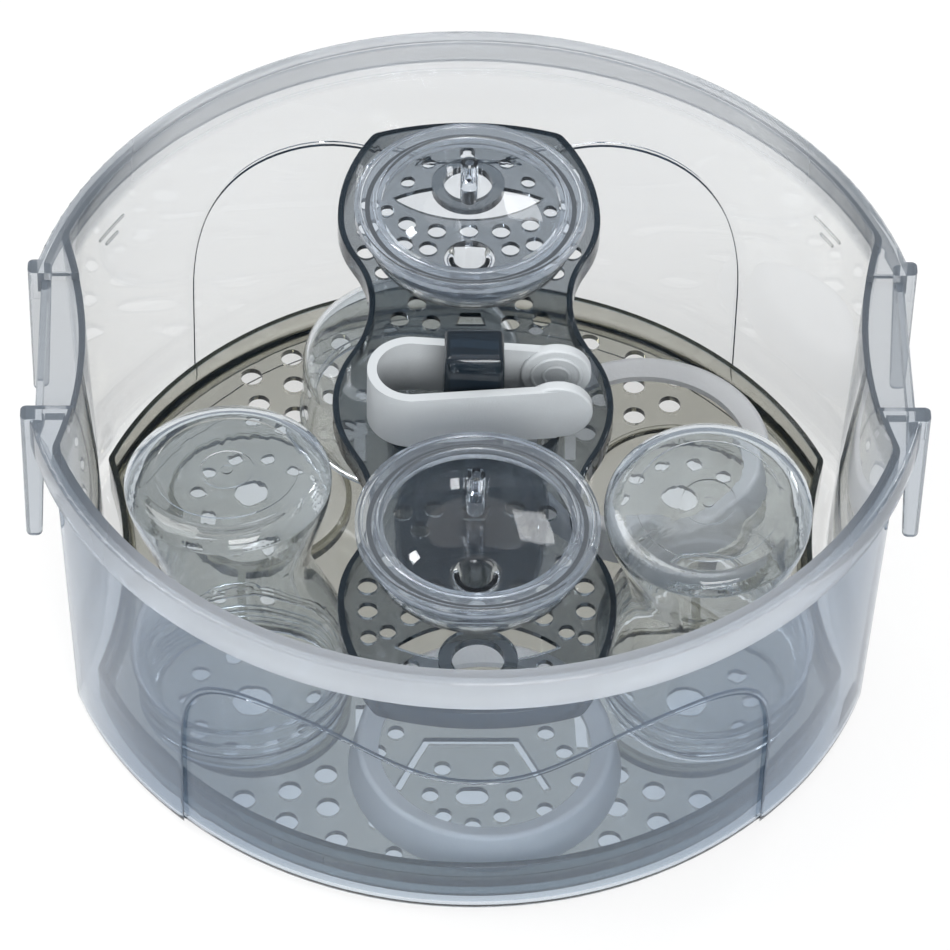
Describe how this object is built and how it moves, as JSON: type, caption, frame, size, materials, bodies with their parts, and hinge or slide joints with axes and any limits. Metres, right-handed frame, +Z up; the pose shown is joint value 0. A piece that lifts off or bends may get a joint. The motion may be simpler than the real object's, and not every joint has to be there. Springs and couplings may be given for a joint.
{
  "type": "baby bottle sterilizer",
  "caption": "Open translucent sterilizer tub with perforated smoke-grey trays, lifting post, tongs and a load of bottles, teats, collars and a cap.",
  "frame": {"origin": "middle of the tub's base, on the surface it stands on", "axes": "+Z up, -Y towards the viewer of the picture (front), +X to the right; hand recesses at +X and -X"},
  "size_m": [0.2772, 0.28, 0.119],
  "materials": {
    "tub_plastic": "translucent, soft gloss",
    "lower_tray_smoke": "smoke tinted, gloss",
    "upper_tray_smoke": "smoke tinted, gloss",
    "tongs_grey": "satin",
    "clear_silicone": "clear, soft gloss",
    "clear_bottle": "clear, gloss",
    "frosted_collar": "frosted white",
    "clear_cap": "clear, gloss"
  },
  "bodies": {
    "tub": {"tub": "tub_plastic"},
    "lower_tray": {"lower_tray": "lower_tray_smoke"},
    "upper_tray": {"upper_tray": "upper_tray_smoke"},
    "tongs": {"tongs": "tongs_grey"},
    "rear_teat": {"rear_teat": "clear_silicone"},
    "front_teat": {"front_teat": "clear_silicone"},
    "left_bottle": {"left_bottle": "clear_bottle"},
    "right_bottle": {"right_bottle": "clear_bottle"},
    "front_collar": {"front_collar": "frosted_collar"},
    "rear_collar": {"rear_collar": "frosted_collar"},
    "bottle_cap": {"bottle_cap": "clear_cap"}
  },
  "joints": [
    {"name": "lower_tray_lift", "type": "slide", "parent": "tub", "child": "lower_tray", "axis": [0, 0, 1], "range_m": [0, 0.14]},
    {"name": "upper_tray_lift", "type": "slide", "parent": "lower_tray", "child": "upper_tray", "axis": [0, 0, 1], "range_m": [0, 0.14]},
    {"name": "tongs_lift", "type": "slide", "parent": "upper_tray", "child": "tongs", "axis": [0, 0, 1], "range_m": [0, 0.05]},
    {"name": "rear_teat_lift", "type": "slide", "parent": "upper_tray", "child": "rear_teat", "axis": [0, 0, 1], "range_m": [0, 0.07]},
    {"name": "front_teat_lift", "type": "slide", "parent": "upper_tray", "child": "front_teat", "axis": [0, 0, 1], "range_m": [0, 0.07]},
    {"name": "left_bottle_lift", "type": "slide", "parent": "lower_tray", "child": "left_bottle", "axis": [0, 0, 1], "range_m": [0, 0.125]},
    {"name": "right_bottle_lift", "type": "slide", "parent": "lower_tray", "child": "right_bottle", "axis": [0, 0, 1], "range_m": [0, 0.125]},
    {"name": "front_collar_lift", "type": "slide", "parent": "lower_tray", "child": "front_collar", "axis": [-0.1191, 0, 0.9929], "range_m": [0, 0.055]},
    {"name": "rear_collar_lift", "type": "slide", "parent": "lower_tray", "child": "rear_collar", "axis": [0, 0, 1], "range_m": [0, 0.058]},
    {"name": "bottle_cap_lift", "type": "slide", "parent": "lower_tray", "child": "bottle_cap", "axis": [0, 0, 1], "range_m": [0, 0.02]}
  ]
}
